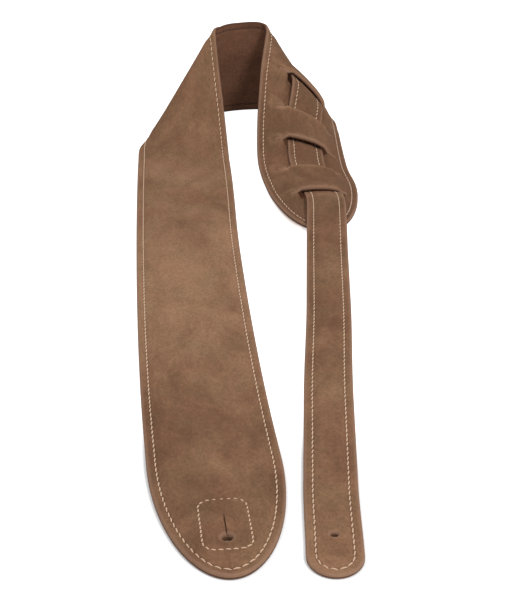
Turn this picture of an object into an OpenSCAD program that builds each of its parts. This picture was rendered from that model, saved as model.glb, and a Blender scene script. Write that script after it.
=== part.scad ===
// Suede guitar strap: a wide padded strap, laid out flat, turned back on its edge in a loop at the far
// end, with a narrow adjusting tail woven through five slots in its other end.
// Lengths are in millimetres. The origin is the wide end's button hole, on the surface the strap lies on.
// A place on the wide strap is (s, t, h): s along it from the wide end's tip, t across it towards the
// edge that stays on the table, h up from the backing's underside towards the outer face.

/* [Wide strap] */
// Width of the wide strap
strap_w = 64; // [60:1:68]
// Thickness of the suede face
face_t = 1.4; // [1:0.1:1.6]
// Thickness of the padding inside the stitch line
core_t = 0.8; // [0.4:0.1:1]
// Thickness of the suede backing
backing_t = 1.2; // [0.8:0.1:1.4]
// Distance from the edge to the stitch line
stitch_inset = 4.3; // [3.5:0.1:5]
// Distance from the edge to the padding
pad_inset = 6.5; // [6:0.1:8]
// Length of the rounded wide end
wide_end = 90; // [84:1:96]
// Length of the rounded slotted end
slot_end = 88; // [80:1:96]

/* [Slots] */
// Distance between neighbouring slots
slot_pitch = 38; // [38:1:40]
// Opening of a slot along the strap
slot_gap = 8; // [8:0.5:9]
// Distance of the first slot from the slotted end's tip
slot_first = 50; // [46:1:54]

/* [Tail] */
// Width of the tail
tail_w = 25; // [22:1:26]
// Thickness of the tail's suede face
tail_face_t = 1.2; // [1:0.1:1.3]
// Thickness of the webbing inside the tail
tail_core_t = 0.6; // [0.4:0.1:0.7]
// Thickness of the tail's backing
tail_backing_t = 1; // [0.8:0.1:1.1]
// Length of the tail's rounded free end
tail_end = 15; // [12.5:0.5:20]
// Distance of the tail's button hole from its tip
tail_hole_at = 28.5; // [26:0.5:34]

/* [Button holes] */
// Diameter of the wide end's button hole
button_d = 5.5; // [4:0.1:7]
// Diameter of the tail's button hole
tail_button_d = 4.5; // [3.5:0.1:6]
// Length of the slit that lets a strap button pass
slit_len = 18; // [10:1:20]
// Width of the slit
slit_w = 0.8; // [0.5:0.1:1]

/* [Thread] */
// Thickness of the sewing thread
thread_d = 0.8; // [0.6:0.1:1]
// Height that a stitch stands above the suede
thread_rise = 0.35; // [0.2:0.05:0.4]

/* [Hidden] */
$fn = 48;

suede = [0.53, 0.39, 0.29];
suede_back = [0.36, 0.24, 0.18];
thread_color = [0.86, 0.74, 0.62];
bobbin_color = [0.34, 0.24, 0.18];
filler = [0.72, 0.66, 0.56];

// The way the wide strap lies: its station, then its inner edge, then the edge that stays on the table.
// It lies flat to station 482, rises on its inner edge, stands on edge round the loop, and comes down.
layout_w = 64;
layout = [
    [0, [34.9, -21.9, 0], [-28.2, -29.3, 0]],
    [27, [32, 5.1, 0], [-31, -2.3, 0]],
    [157.4, [17.6, 134.4, 0], [-44.9, 127.4, 0]],
    [330.4, [3.5, 305.4, 0], [-58.9, 300.8, 0]],
    [485.4, [-5.2, 458.4, 0], [-68.4, 458.4, 0]],
    [506.4, [-7.4, 487.4, 7], [-68.8, 469.4, 0]],
    [527.4, [-10.7, 514.4, 25], [-68.3, 477.4, 0]],
    [545.4, [-14.2, 536.4, 46], [-66.4, 485.4, 0]],
    [564.4, [-16, 553.4, 63], [-61.5, 497.4, 0]],
    [590.4, [-10.5, 565.4, 66], [-44.5, 528.4, 0]],
    [622.4, [2, 574.4, 66], [-11.5, 563.4, 0]],
    [649.4, [16, 578.4, 65], [25, 569.4, 0]],
    [671.4, [20, 570.4, 62], [57, 557.4, 0]],
    [690.4, [19, 554.4, 57], [69, 539.4, 0]],
    [711.4, [16.8, 533.4, 48], [71.5, 518.4, 0]],
    [744.4, [14.8, 503.4, 31], [73, 488.4, 0]],
    [776.4, [13.8, 471.4, 16], [74.5, 458.4, 0]],
    [809.4, [14.6, 438.4, 6], [76.5, 433.4, 0]],
    [840.4, [19.2, 404.4, 1], [80.8, 407.4, 0]],
    [907.4, [27.2, 331.4, 0], [88.3, 340.4, 0]]];
last = len(layout) - 1;
strap_len = layout[last][0];
half_w = strap_w / 2;

main_t = backing_t + core_t + face_t;
tail_t = tail_backing_t + tail_core_t + tail_face_t;
rim_t = backing_t + face_t;
tail_rim_t = tail_backing_t + tail_face_t;

// Slots, from the one nearest the loop to the one nearest the tip
slots = [for (k = [4:-1:0]) strap_len - slot_first - k * slot_pitch];
slot_lo = -18;
slot_hi = 23;
lip = slot_gap / 2;
// Where the tail passes: its offset across the wide strap, the air left between them, and the length
// over which a lip rises from the middle of its bridge
tail_offset = 2;
clear = 0.4;
lip_len = 10;
ramp = lip + lip_len;
// The bridges' arch over the tail: its half width, and its height along the middle and at the lips
arch_half = tail_w / 2 + 0.7;
arch_h = tail_t + 2 * clear + 0.1;
lip_h = arch_h + 1.6;

// The free stretch of the tail lies on one straight line to its tip
tail_tip = [46, -25.1, 0];
tail_dir = [0.031, 0.9995, 0];
tail_side = [0.9995, -0.031, 0];
tail_tip_s = slots[4] + 413;
entry = 23;
tail_inner_s = slots[0] - entry - 10;
join_from = slots[3] - 10;
join_to = slots[4] + 32;

// Round the button holes: the stations where the stiff tabs and the separate pieces of backing end, and
// the length, width, corner radius and middle station of the box of stitching
tab_end = 50;
backing_seam = 72;
tail_tab_s = tail_tip_s - 53;
tail_backing_seam = tail_tip_s - 75;
button_box = [38, 22, 6];
button_box_s = 36;

function unit(v) = v / norm(v);
function mix(a, b, k) = a + (b - a) * k;
function smooth(a, b, x) = let (k = max(0, min(1, (x - a) / (b - a)))) k * k * (3 - 2 * k);
function on_table(p) = [p.x, p.y, max(0, p.z)];

// Edge curves: a smooth curve through the layout's points, by station
function row_before(s, i = 0) = i >= last - 1 || s < layout[i + 1][0] ? i : row_before(s, i + 1);
function rise(i, k) = (layout[i + 1][k] - layout[i][k]) / (layout[i + 1][0] - layout[i][0]);
function slope(i, k) = i == 0 ? rise(0, k) : i == last ? rise(last - 1, k) :
    let (before = layout[i][0] - layout[i - 1][0], after = layout[i + 1][0] - layout[i][0])
    (rise(i - 1, k) * after + rise(i, k) * before) / (before + after);
function edge(s, k) = let (i = row_before(s), len = layout[i + 1][0] - layout[i][0],
        x = (s - layout[i][0]) / len)
    on_table(layout[i][k] * (1 + 2 * x) * (1 - x) * (1 - x) + slope(i, k) * len * x * (1 - x) * (1 - x)
    + layout[i + 1][k] * x * x * (3 - 2 * x) - slope(i + 1, k) * len * x * x * (1 - x));

// A point of the wide strap's underside, and the direction of its outer face there
function underside(s, t) = let (inner = edge(s, 1), outer = edge(s, 2))
    outer + (inner - outer) * (strap_w / layout_w) * (half_w - t) / strap_w;
function outward(s, t) = let (a = max(0, s - 1), b = min(strap_len, s + 1))
    unit(cross(underside(b, t) - underside(a, t), underside(s, half_w) - underside(s, -half_w)));
function strap_point(s, t, h) = on_table(underside(s, t) + outward(s, t) * h);

// Half widths: of a rounded end drawn in from the edge, at a distance x from the tip
function rounded(x, len, half, inset) = x <= inset ? 0 : x >= len ? half - inset :
    (half - inset) * sqrt(1 - pow((len - x) / (len - inset), 2));
function strap_half(s, inset = 0) = min(rounded(s, wide_end, half_w, inset),
    rounded(strap_len - s, slot_end, half_w, inset));
function tip_distance(s) = min(s, strap_len - s);
function pad_half(s) = max(0.3 * strap_half(s), strap_half(s, pad_inset));
function pad_h(s) = tip_distance(s) > pad_inset + 0.1 ? core_t : 0;

// The tail's height over the wide strap's underside: inside the loop, then over the strap, and under
// the bridges between slots
inside = -tail_t - 3 * clear;
over = main_t + clear;
under = 0.2;
middle = (over + under) / 2;
tail_heights = [[slots[0] - entry, inside], [slots[0] - lip, middle], [slots[0] + lip, over],
    [slots[1] - lip, over], [slots[1] + lip, middle], [slots[1] + ramp, under],
    [slots[2] - ramp, under], [slots[2] - lip, middle], [slots[2] + lip, over],
    [slots[3] - lip, over], [slots[3] + lip, middle], [slots[3] + ramp, under],
    [slots[4] - ramp, under], [slots[4] - lip, middle], [slots[4] + lip / 2, over],
    [strap_len + 1, over], [strap_len + 31, 0]];
function tail_height(s) = lookup(s, tail_heights);

// How far the wide strap arches over the tail: most at a bridge's lips, and not at all past them
past = lip - 0.1;
arches = [[slots[0] - entry, 0], [slots[0] - lip, lip_h], [slots[0] - past, 0],
    [slots[1] + past, 0], [slots[1] + lip, lip_h], [slots[1] + ramp, arch_h],
    [slots[2] - ramp, arch_h], [slots[2] - lip, lip_h], [slots[2] - past, 0],
    [slots[3] + past, 0], [slots[3] + lip, lip_h], [slots[3] + ramp, arch_h],
    [slots[4] - ramp, arch_h], [slots[4] - lip, lip_h], [slots[4] - past, 0]];
function arch(s) = lookup(s, arches);

// The tail's own place: along the wide strap in the weave, then on its straight line to the tip
function tail_line(s) = tail_tip + tail_dir * (tail_tip_s - s);
function tail_join(s) = smooth(join_from, join_to, s);
function clamp_s(s) = min(s, strap_len);
function line_offset(s) = (tail_line(s) - underside(clamp_s(s), 0)) * tail_side;
function tail_across(s) = mix(tail_offset, line_offset(s), tail_join(s));
function tail_under(s, t) = mix(underside(clamp_s(s), tail_offset + t),
    tail_line(s) + tail_side * t, tail_join(s));
function tail_up(s) = s > join_from ? [0, 0, 1] : outward(s, tail_offset);
function tail_point(s, t, h) = on_table(tail_under(s, t) + tail_up(s) * (tail_height(s) + h));
function tail_half(s, inset = 0) = rounded(tail_tip_s - s, tail_end, tail_w / 2, inset);

// A closed sheet: rows of top and bottom points, from high t to low t, with openings left at the slots.
// holes lists the rows that a slot follows, and from and to are the columns at its ends.
module sheet(tops, bottoms, holes = [], from = 0, to = 0) {
    n = len(tops[0]);
    rows = len(tops);
    points = [for (i = [0:rows - 1]) each concat(tops[i], bottoms[i])];
    function top(i, j) = i * 2 * n + j;
    function bot(i, j) = top(i, j) + n;
    function is_open(i, j) = len(search(i, holes)) > 0 && j >= from && j < to;
    function quad(a, b, c, d) = [[a, b, c], [a, c, d]];
    function end_wall(i, j) = quad(top(i, j), bot(i, j), bot(i, j + 1), top(i, j + 1));
    function start_wall(i, j) = quad(top(i, j), top(i, j + 1), bot(i, j + 1), bot(i, j));
    function high_wall(i, j) = quad(top(i, j), bot(i, j), bot(i + 1, j), top(i + 1, j));
    function low_wall(i, j) = quad(top(i, j), top(i + 1, j), bot(i + 1, j), bot(i, j));
    skins = [for (i = [0:rows - 2], j = [0:n - 2]) if (!is_open(i, j))
        each concat(quad(top(i, j), top(i + 1, j), top(i + 1, j + 1), top(i, j + 1)),
            [[bot(i, j), bot(i, j + 1), bot(i + 1, j + 1)], [bot(i, j), bot(i + 1, j + 1), bot(i + 1, j)]])];
    sides = [for (i = [0:rows - 2]) each concat(high_wall(i, 0), low_wall(i, n - 1))];
    ends = [for (j = [0:n - 2]) each concat(start_wall(0, j), end_wall(rows - 1, j))];
    slot_walls = [for (i = holes) each concat(low_wall(i, from), high_wall(i, to),
        [for (j = [from:to - 1]) each concat(end_wall(i, j), start_wall(i + 1, j))])];
    polyhedron(points, concat(skins, sides, ends, slot_walls), convexity = 10);
}

// A closed loop of thread: each ring is four corners round the stitch line
module thread_loop(rings) {
    n = len(rings);
    points = [for (r = rings) each r];
    faces = [for (i = [0:n - 1], k = [0:3]) let (a = i * 4, b = (i + 1) % n * 4, l = (k + 1) % 4)
        each [[a + k, b + l, b + k], [a + k, a + l, b + l]]];
    polyhedron(points, faces, convexity = 10);
}

// Stations of the rows: close together where the strap turns, at the slots and at the rounded ends
end_steps = [0.5, 2.5, 6, 7, 12, 20, 29, 42, 56];
wide_rows = concat(end_steps, [backing_seam, 90, 155, 240, 328, 410, 455]);
loop_rows = [for (s = [470:10:680]) s];
slot_rows = [for (s = slots) each [s - ramp, s - lip, s + lip, s + ramp]];
tip_rows = [for (i = [6:-1:0]) strap_len - end_steps[i]];
strap_rows = concat(wide_rows, loop_rows, slot_rows, tip_rows);
slot_openings = [for (k = [0:4]) len(wide_rows) + len(loop_rows) + 4 * k + 1];
pad_rows = [for (s = strap_rows) if (tip_distance(s) > pad_inset + 0.1) s];
tab_rows = [for (s = pad_rows) if (s < tab_end) s];
core_rows = [for (s = pad_rows) if (s > tab_end) s];

// Columns across the wide strap: 12 of them, and the slots open between two
slot_cols = [4, 7];
function narrowing(s) = min(1, (pad_half(s) - 0.5) / (slot_hi + 0.5));
function slot_columns(s) = let (c = narrowing(s), a = tail_across(s), low = a - arch_half,
        high = a + arch_half)
    s < slots[0] - 30 || s > slots[4] + 10 ? [slot_hi * c, 8 * c, -6 * c, slot_lo * c]
    : [slot_hi * c, min(high, slot_hi * c - 0.5), low, slot_lo * c];
function rim_columns(s) = [strap_half(s), strap_half(s) * 0.98 - 0.6 * narrowing(s), pad_half(s) + 0.5];
function strap_columns(s) = let (r = rim_columns(s), p = pad_half(s))
    concat(r, [p], slot_columns(s), [-p, -r[2], -r[1], -r[0]]);
function lift(s) = concat([0, 0, 0, 0, 0], [arch(s), arch(s)], [0, 0, 0, 0, 0]);
function strap_row(s, heights) = let (t = strap_columns(s), up = lift(s))
    [for (j = [0:11]) strap_point(s, t[j], heights[j] + up[j])];
function level(h) = [for (j = [0:11]) h];
function face_top(s) = let (r = rim_t, p = r + pad_h(s))
    [r - 0.4, r, r, p, p, p, p, p, p, r, r, r - 0.4];
function face_bottom(s) = let (b = backing_t, p = b + pad_h(s)) [b, b, b, p, p, p, p, p, p, b, b, b];

// One layer of the wide strap over the given rows, between two heights and two of its 12 columns
module strap_layer(rows, bottom, top, low_col = 0, high_col = 11) {
    openings = [for (k = slot_openings) each search(strap_rows[k], rows)];
    function cut(row) = [for (j = [low_col:high_col]) row[j]];
    sheet([for (s = rows) cut(strap_row(s, level(top)))], [for (s = rows) cut(strap_row(s, level(bottom)))],
        openings, slot_cols[0] - low_col, slot_cols[1] - low_col);
}

module strap_pad(rows) {
    strap_layer(rows, backing_t, backing_t + core_t, 3, 8);
}

// Button hole with its slit, upright through all layers
module button_hole() {
    translate([0, 0, -1]) cylinder(d = button_d, h = main_t + 2);
    rotate(6.4) translate([-slit_w / 2, 0, -1]) cube([slit_w, slit_len, main_t + 2]);
}

module tail_button_hole() {
    p = tail_line(tail_tip_s - tail_hole_at);
    translate([p.x, p.y, -1]) cylinder(d = tail_button_d, h = tail_t + 2);
}

// Stitch lines
stitch_rows = [for (s = strap_rows) if (tip_distance(s) > stitch_inset) s];
function strap_stitch_line() = let (n = len(stitch_rows)) concat(
    [for (s = stitch_rows) [s, strap_half(s, stitch_inset)]],
    [for (i = [n - 1:-1:0]) [stitch_rows[i], -strap_half(stitch_rows[i], stitch_inset)]]);
function box_corner(c, from) = [for (a = [from:22.5:from + 90]) c + button_box[2] * [cos(a), sin(a)]];
function box_line() = let (x = button_box[0] / 2 - button_box[2], y = button_box[1] / 2 - button_box[2],
        c = [button_box_s, 0])
    concat(box_corner(c + [x, y], 0), box_corner(c + [-x, y], 90), box_corner(c + [-x, -y], 180),
        box_corner(c + [x, -y], 270));

function ring(p, along, up, low, high) = let (side = unit(cross(along, up)) * thread_d / 2)
    [p - side + up * low, p + side + up * low, p + side + up * high, p - side + up * high];
function strap_rings(line, low, high) = let (n = len(line)) [for (i = [0:n - 1])
    let (here = line[i], next = line[(i + 1) % n], prev = line[(i + n - 1) % n],
        p = underside(here[0], here[1]), along = underside(next[0], next[1]) - underside(prev[0], prev[1]))
    [for (q = ring(p, along, outward(here[0], here[1]), low, high)) on_table(q)]];

module main_face() {
    color(suede) difference() {
        sheet([for (s = strap_rows) strap_row(s, face_top(s))],
            [for (s = strap_rows) strap_row(s, face_bottom(s))], slot_openings, slot_cols[0], slot_cols[1]);
        button_hole();
    }
}

module main_backing() {
    color(suede_back) strap_layer([for (s = strap_rows) if (s >= backing_seam) s], 0, backing_t);
}

module main_button_backing() {
    color(suede_back) difference() {
        strap_layer([for (s = strap_rows) if (s <= backing_seam) s], 0, backing_t);
        button_hole();
    }
}

module main_core() {
    color(filler) strap_pad(core_rows);
}

module main_button_tab() {
    color(filler) difference() {
        strap_pad(tab_rows);
        button_hole();
    }
}

module main_needle_thread() {
    color(thread_color) thread_loop(strap_rings(strap_stitch_line(), rim_t - 0.2, rim_t + thread_rise));
}

module main_bobbin_thread() {
    color(bobbin_color) thread_loop(strap_rings(strap_stitch_line(), 0, thread_rise));
}

module button_needle_thread() {
    color(thread_color) thread_loop(strap_rings(box_line(), main_t - 0.2, main_t + thread_rise));
}

module button_bobbin_thread() {
    color(bobbin_color) thread_loop(strap_rings(box_line(), 0, thread_rise));
}

// Rows and columns of the tail
tail_weave_rows = [for (s = slots) each [s - ramp, s - lip, s == slots[4] ? s + lip / 2 : s + lip, s + ramp]];
tail_rows = concat([tail_inner_s, slots[0] - entry], tail_weave_rows,
    [for (x = [21, 30, 38, 43, 51, 57, 63, 69, 75, 81, 140, 220, 300]) slots[4] + x],
    [for (x = [75, 54, 40, 26, 15, 11, 8, 7, 6, 3.5, 1.5, 0.3]) tail_tip_s - x]);
function tail_pad_half(s) = max(0.3 * tail_half(s), tail_half(s, pad_inset - 0.8));
function tail_pad_h(s) = tail_tip_s - s > pad_inset + 0.1 ? tail_core_t : 0;
function tail_columns(s) = let (w = tail_half(s), p = tail_pad_half(s))
    [w, w * 0.95, mix(p, w, 0.1), p, -p, -mix(p, w, 0.1), -w * 0.95, -w];
function tail_row(s, heights) = let (t = tail_columns(s)) [for (j = [0:7]) tail_point(s, t[j], heights[j])];
function tail_level(h) = [for (j = [0:7]) h];
function tail_face_top(s) = let (r = tail_rim_t, p = r + tail_pad_h(s)) [r - 0.3, r, r, p, p, r, r, r - 0.3];
function tail_face_bottom(s) = let (b = tail_backing_t, p = b + tail_pad_h(s)) [b, b, b, p, p, b, b, b];
tail_pad_rows = [for (s = tail_rows) if (tail_tip_s - s > pad_inset + 0.1) s];

module tail_pad(rows) {
    sheet([for (s = rows) let (r = tail_row(s, tail_level(tail_backing_t + tail_core_t))) [r[3], r[4]]],
        [for (s = rows) let (r = tail_row(s, tail_level(tail_backing_t))) [r[3], r[4]]]);
}

tail_stitch_rows = concat([tail_inner_s + stitch_inset],
    [for (s = tail_rows) if (s > tail_inner_s + stitch_inset && tail_tip_s - s > stitch_inset) s]);
function tail_stitch_line() = let (n = len(tail_stitch_rows)) concat(
    [for (s = tail_stitch_rows) [s, tail_half(s, stitch_inset)]],
    [for (i = [n - 1:-1:0]) [tail_stitch_rows[i], -tail_half(tail_stitch_rows[i], stitch_inset)]]);
function tail_rings(low, high) = let (line = tail_stitch_line(), n = len(line)) [for (i = [0:n - 1])
    let (here = line[i], next = line[(i + 1) % n], prev = line[(i + n - 1) % n],
        along = tail_point(next[0], next[1], 0) - tail_point(prev[0], prev[1], 0))
    [for (q = ring(tail_point(here[0], here[1], 0), along, tail_up(here[0]), low, high)) on_table(q)]];

module tail_face() {
    color(suede) difference() {
        sheet([for (s = tail_rows) tail_row(s, tail_face_top(s))],
            [for (s = tail_rows) tail_row(s, tail_face_bottom(s))]);
        tail_button_hole();
    }
}

module tail_layer(rows) {
    sheet([for (s = rows) tail_row(s, tail_level(tail_backing_t))],
        [for (s = rows) tail_row(s, tail_level(0))]);
}

module tail_backing() {
    color(suede_back) tail_layer([for (s = tail_rows) if (s <= tail_backing_seam) s]);
}

module tail_button_backing() {
    color(suede_back) difference() {
        tail_layer([for (s = tail_rows) if (s >= tail_backing_seam) s]);
        tail_button_hole();
    }
}

module tail_core() {
    color(filler) tail_pad([for (s = tail_pad_rows) if (s < tail_tab_s) s]);
}

module tail_button_tab() {
    color(filler) difference() {
        tail_pad(concat([tail_tab_s + 2], [for (s = tail_pad_rows) if (s > tail_tab_s + 2) s]));
        tail_button_hole();
    }
}

module tail_needle_thread() {
    color(thread_color) thread_loop(tail_rings(tail_rim_t - 0.2, tail_rim_t + thread_rise));
}

module tail_bobbin_thread() {
    color(bobbin_color) thread_loop(tail_rings(0, thread_rise));
}

main_face();
main_core();
main_backing();
main_button_backing();
main_button_tab();
main_needle_thread();
main_bobbin_thread();
button_needle_thread();
button_bobbin_thread();
tail_face();
tail_core();
tail_backing();
tail_button_backing();
tail_button_tab();
tail_needle_thread();
tail_bobbin_thread();
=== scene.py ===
"""Looks of the suede guitar strap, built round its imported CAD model. Working lengths are millimetres.

A place on the wide strap is (s, t, h), as in the CAD: s along it from the wide end's tip, t across it
towards the edge that stays on the table, h up from the backing's underside. The tail has its own such
places, with s still counted along the wide strap. Each strap is first laid out flat, as rings that
follow its outline round a field of rows, and the same flat layout makes every one of its layers.
"""

import math

import bpy
import numpy as np
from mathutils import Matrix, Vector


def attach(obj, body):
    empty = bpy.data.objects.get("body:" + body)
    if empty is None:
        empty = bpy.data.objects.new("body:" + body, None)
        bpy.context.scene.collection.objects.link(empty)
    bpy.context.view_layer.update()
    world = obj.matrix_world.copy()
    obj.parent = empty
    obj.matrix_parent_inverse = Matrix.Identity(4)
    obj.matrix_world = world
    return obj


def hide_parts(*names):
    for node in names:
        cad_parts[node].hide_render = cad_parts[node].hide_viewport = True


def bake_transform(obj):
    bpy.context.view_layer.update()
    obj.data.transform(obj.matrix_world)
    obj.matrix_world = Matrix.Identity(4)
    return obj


MM = 0.001
RNG = np.random.default_rng(7)

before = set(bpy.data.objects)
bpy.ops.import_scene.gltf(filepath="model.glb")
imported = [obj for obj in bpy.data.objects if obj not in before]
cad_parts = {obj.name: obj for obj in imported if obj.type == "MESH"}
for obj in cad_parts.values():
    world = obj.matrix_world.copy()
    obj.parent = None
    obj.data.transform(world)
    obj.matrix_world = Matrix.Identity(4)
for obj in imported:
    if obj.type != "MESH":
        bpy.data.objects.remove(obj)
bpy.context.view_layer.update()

# ---------------------------------------------------------------- dimensions
# These are the CAD's own
STRAP_W, HALF_W = 64.0, 32.0
FACE_T, CORE_T, BACKING_T = 1.4, 0.8, 1.2
MAIN_T = BACKING_T + CORE_T + FACE_T
STITCH_INSET, PAD_INSET = 4.3, 6.5
WIDE_END, SLOT_END = 90.0, 88.0
SLOT_PITCH, SLOT_FIRST, SLOT_LO, SLOT_HI = 38.0, 50.0, -18.0, 23.0
TAIL_HALF, TAIL_FACE_T, TAIL_CORE_T, TAIL_BACKING_T = 12.5, 1.2, 0.6, 1.0
TAIL_T = TAIL_BACKING_T + TAIL_CORE_T + TAIL_FACE_T
TAIL_END, TAIL_INNER_END, TAIL_HOLE_AT = 15.0, 8.0, 28.5
BACKING_SEAM, TAIL_BACKING_SEAM = 72.0, 75.0
BOX_S, BOX_LEN, BOX_W, BOX_R = 36.0, 38.0, 22.0, 6.0
# These are the look's: the tabs stop short of the padding, the threads are separate stitches, and the
# holes and the slit are a little smaller, as soft leather closes in on them
TAIL_PAD_INSET = PAD_INSET - 0.8
TAB_END, TAB_GAP, TAIL_TAB_LEN, TAIL_TAB_GAP = 46.0, 6.0, 51.0, 3.0
THREAD_R, STITCH_PITCH, BOX_PITCH = 0.37, 4.2, 3.2
HOLE_S, HOLE_R, TAIL_HOLE_R, SLIT_LEN = 25.6, 2.5, 1.7, 17.0

# How the wide strap lies: its station, its inner edge, and the edge that stays on the table
LAYOUT = [
    (0, (34.9, -21.9, 0), (-28.2, -29.3, 0)),
    (27, (32, 5.1, 0), (-31, -2.3, 0)),
    (157.4, (17.6, 134.4, 0), (-44.9, 127.4, 0)),
    (330.4, (3.5, 305.4, 0), (-58.9, 300.8, 0)),
    (485.4, (-5.2, 458.4, 0), (-68.4, 458.4, 0)),
    (506.4, (-7.4, 487.4, 7), (-68.8, 469.4, 0)),
    (527.4, (-10.7, 514.4, 25), (-68.3, 477.4, 0)),
    (545.4, (-14.2, 536.4, 46), (-66.4, 485.4, 0)),
    (564.4, (-16, 553.4, 63), (-61.5, 497.4, 0)),
    (590.4, (-10.5, 565.4, 66), (-44.5, 528.4, 0)),
    (622.4, (2, 574.4, 66), (-11.5, 563.4, 0)),
    (649.4, (16, 578.4, 65), (25, 569.4, 0)),
    (671.4, (20, 570.4, 62), (57, 557.4, 0)),
    (690.4, (19, 554.4, 57), (69, 539.4, 0)),
    (711.4, (16.8, 533.4, 48), (71.5, 518.4, 0)),
    (744.4, (14.8, 503.4, 31), (73, 488.4, 0)),
    (776.4, (13.8, 471.4, 16), (74.5, 458.4, 0)),
    (809.4, (14.6, 438.4, 6), (76.5, 433.4, 0)),
    (840.4, (19.2, 404.4, 1), (80.8, 407.4, 0)),
    (907.4, (27.2, 331.4, 0), (88.3, 340.4, 0)),
]
STATIONS = np.array([row[0] for row in LAYOUT], float)
INNER = np.array([row[1] for row in LAYOUT], float)
OUTER = np.array([row[2] for row in LAYOUT], float)
STRAP_LEN = float(STATIONS[-1])
SLOTS = [STRAP_LEN - SLOT_FIRST - k * SLOT_PITCH for k in (4, 3, 2, 1, 0)]

TAIL_TIP = np.array([46.0, -25.1, 0.0])
TAIL_DIR = np.array([0.031, 0.9995, 0.0])
TAIL_SIDE = np.array([0.9995, -0.031, 0.0])
TAIL_OFFSET = 2.0
TAIL_TIP_S = SLOTS[4] + 413
TAIL_INNER_S = SLOTS[0] - 33
TAIL_LEN = TAIL_TIP_S - TAIL_INNER_S
# The free tail bows sideways: how far, and where it leaves and comes back to its line, from the tip
TAIL_BOW, BOW_NEAR, BOW_FAR = -1.3, (8, 70), (150, 260)
JOIN_FROM, JOIN_TO = SLOTS[3] - 10, SLOTS[4] + 32

# The weave: how near a slot the tail crosses the strap, how far it then takes to settle, the air round
# it, and how far before the first slot the strap starts to rise over it
LIP, LIP_LEN, CLEAR, ENTRY = 4.0, 10.0, 0.4, 23.0
RAMP = LIP + LIP_LEN
# Half a slot's opening, the share of it left open past the tail, and the bare strip round its lips
LIP_OPEN, SLIT, LIP_BARE = 3.0, 0.1, 1.3
# Height of the bridges over the tail, how far each slot's lip stands above it, and a factor for both
ARCH_H = TAIL_T + 2 * CLEAR + 0.6
LIP_RISES = [2.0, 3.0, 2.0, 2.6, 0.6]
ARCH_CROWN = 1.12
# How far past a slot's low and high ends the arch has its feet
FOOT_LOW, FOOT_HIGH = 4.5, 1.5
# How far before a bridge, and past its last slot, the leather beside it is still raised
SHOULDER_FAR, SHOULDER_NEAR = 10.0, 26.0
# The crease beside the tail, where the leather bends up over it, and the wider one at the last slot
CREASE, LAST_CREASE = 1.4, 3.4

# How light the nap is brushed, between -1 and 1 and a little beyond, at stations along each strap
WIDE_NAP = [
    (0, -0.1),
    (90, -0.9),
    (150, -0.7),
    (235, 0.8),
    (310, 0.7),
    (400, 0),
    (480, 0.2),
    (620, -0.4),
    (700, -0.9),
    (905, -1.4),
]
TAIL_NAP = [(0, -1.3), (200, -1.1), (400, -0.5), (520, -0.3), (TAIL_LEN, 0.8)]
FAR = 99.0


def smooth(a, b, x):
    k = np.clip((x - a) / (b - a), 0, 1)
    return k * k * (3 - 2 * k)


def mix(a, b, k):
    return a + (b - a) * k


def unit(v):
    return v / np.maximum(np.linalg.norm(v, axis=-1, keepdims=True), 1e-9)


def hump(distance, width):
    """A smooth rise of height 1 where a distance is zero."""
    return np.exp(-((distance / width) ** 2))


# ---------------------------------------------------------------- where the wide strap lies
def slopes(points):
    """Tangents of a smooth curve through the layout's points, per millimetre of station."""
    gaps = np.diff(STATIONS)[:, None]
    rises = np.diff(points, axis=0) / gaps
    inside = (rises[:-1] * gaps[1:] + rises[1:] * gaps[:-1]) / (gaps[:-1] + gaps[1:])
    return np.vstack([rises[:1], inside, rises[-1:]])


INNER_SLOPES, OUTER_SLOPES = slopes(INNER), slopes(OUTER)


def edge(s, points, tangents):
    i = np.clip(np.searchsorted(STATIONS, s, side="right") - 1, 0, len(STATIONS) - 2)
    gap = (STATIONS[i + 1] - STATIONS[i])[..., None]
    x = (s - STATIONS[i])[..., None] / gap
    curve = (
        points[i] * (1 + 2 * x) * (1 - x) ** 2
        + tangents[i] * gap * x * (1 - x) ** 2
        + points[i + 1] * x**2 * (3 - 2 * x)
        - tangents[i + 1] * gap * x**2 * (1 - x)
    )
    curve[..., 2] = np.maximum(curve[..., 2], 0)
    return curve


def underside(s, t):
    s = np.clip(s, 0, STRAP_LEN)
    inner, outer = edge(s, INNER, INNER_SLOPES), edge(s, OUTER, OUTER_SLOPES)
    return outer + (inner - outer) * ((HALF_W - t) / STRAP_W)[..., None]


def outward(s, t):
    along = underside(s + 1.5, t) - underside(s - 1.5, t)
    across = underside(s, t - 5) - underside(s, t + 5)
    return unit(np.cross(across, along))


def strap_place(s, t, h):
    s, t, h = np.broadcast_arrays(s, t, h)
    place = underside(s, t) + outward(s, t) * h[..., None]
    place[..., 2] = np.maximum(place[..., 2], 0)
    return place


# ---------------------------------------------------------------- the weave
def eased(s, table, reach=2.5):
    """A table of (station, height) joined by straight lines, rounded off over a short reach."""
    stations, heights = zip(*table)
    shifts = np.linspace(-reach, reach, 9)
    return sum(np.interp(s + d, stations, heights) for d in shifts) / len(shifts)


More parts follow.
